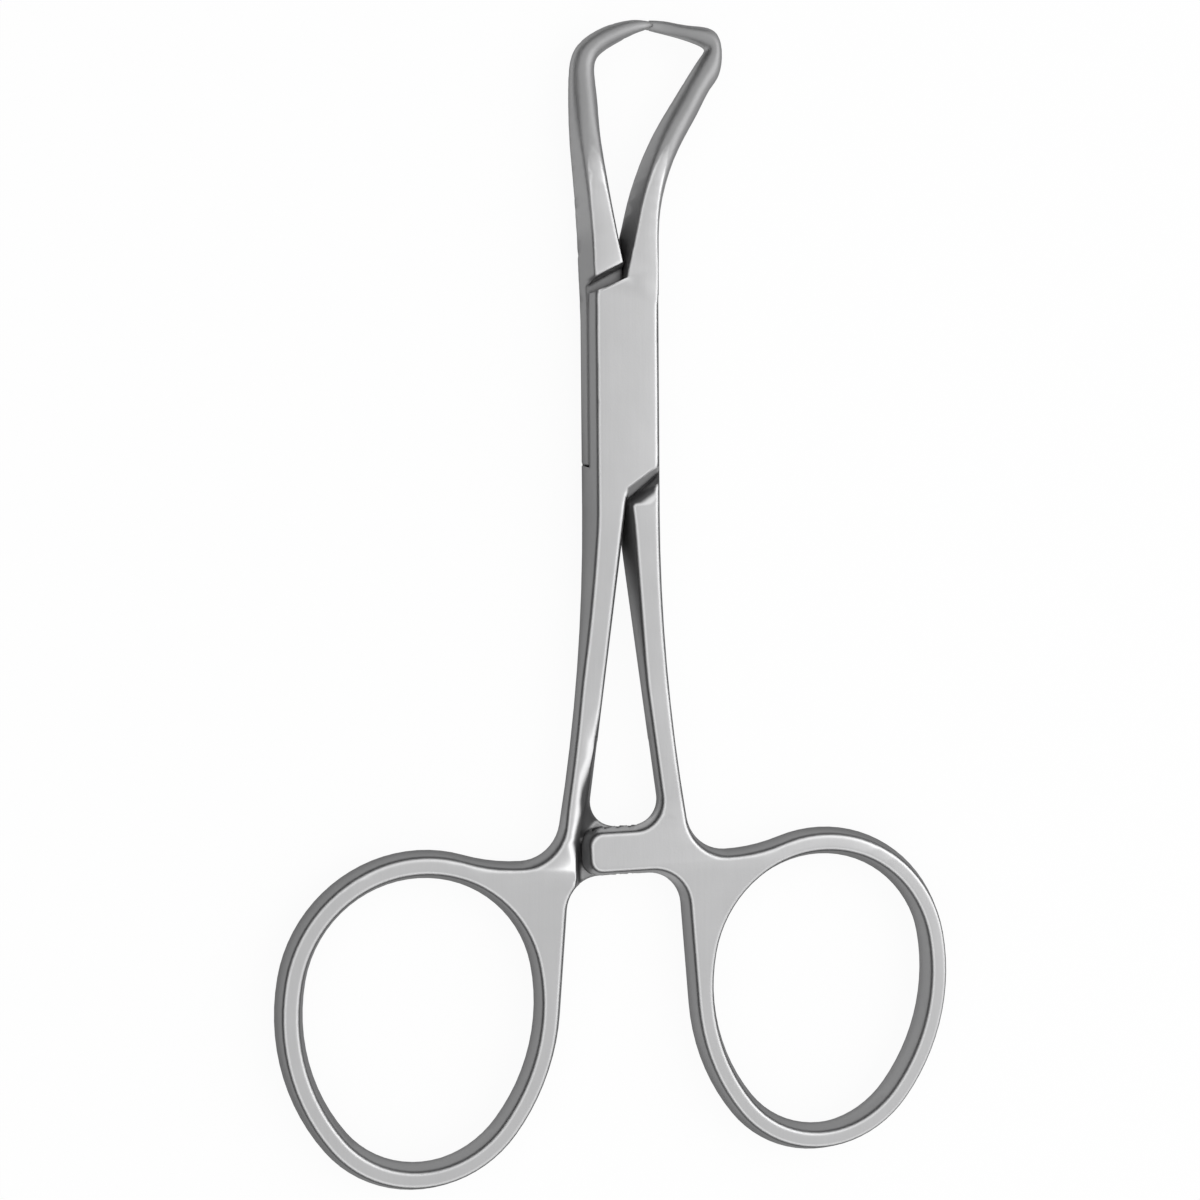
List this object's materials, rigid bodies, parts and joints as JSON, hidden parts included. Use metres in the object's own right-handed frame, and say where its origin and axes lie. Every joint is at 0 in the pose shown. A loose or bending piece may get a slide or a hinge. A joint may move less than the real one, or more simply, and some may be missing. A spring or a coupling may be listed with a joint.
{
  "type": "towel clamp",
  "caption": "Ring-handled towel clamp with a box lock, curved pointed jaws whose tips overlap, and ratchet bars between the shanks.",
  "frame": {"origin": "on the pivot axis, at the back face of the box lock", "axes": "+Y from the finger rings to the jaws, +X across towards the ring of the tongue half, +Z out of the front face"},
  "size_m": [0.0676, 0.1096, 0.0049],
  "materials": {
    "satin_steel": "satin"
  },
  "bodies": {
    "box_arm": {"box_half": "satin_steel", "pivot_pin": "satin_steel"},
    "tongue_arm": {"tongue_half": "satin_steel"}
  },
  "joints": [
    {"name": "lock_pivot", "type": "hinge", "parent": "box_arm", "child": "tongue_arm", "pos_m": [0, 0, 0.00245], "axis": [0, 0, 1], "range_deg": [0, 50]}
  ]
}
